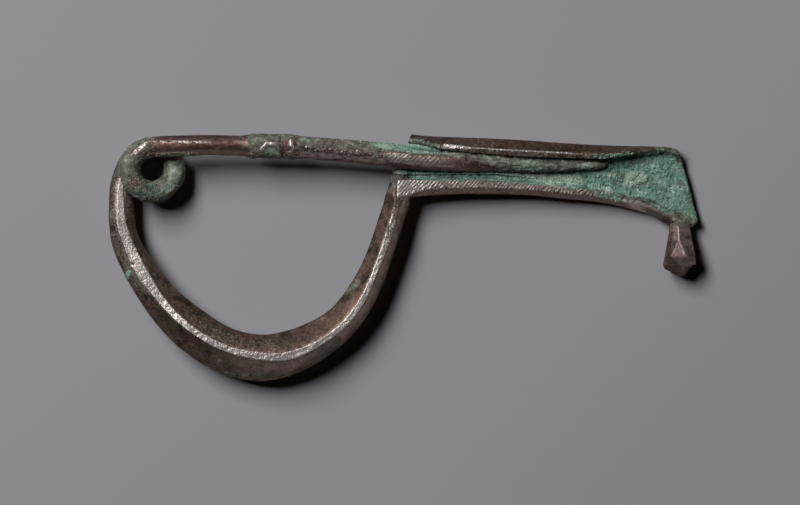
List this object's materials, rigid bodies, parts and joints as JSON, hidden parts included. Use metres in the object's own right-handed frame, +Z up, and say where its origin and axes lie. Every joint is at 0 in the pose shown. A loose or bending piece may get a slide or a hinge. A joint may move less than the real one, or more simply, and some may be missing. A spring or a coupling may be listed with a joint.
{
  "type": "fibula brooch",
  "caption": "Ancient bronze bow brooch lying on its side: arched faceted bow, coiled spring, long pin held in a folded catch, drop-shaped end knob",
  "frame": {"origin": "middle of the bounding box in plan, on the surface that the brooch lies on", "axes": "+X along the brooch towards the knob end, +Y from the bow towards the pin, +Z up from the surface"},
  "size_m": [0.0799, 0.0334, 0.006],
  "materials": {
    "patinated_bronze": "aged bronze, dark brown patina, worn bright ridges, green corrosion on the spring, pin and catch"
  },
  "bodies": {
    "root": {"fibula": "patinated_bronze"}
  },
  "joints": []
}
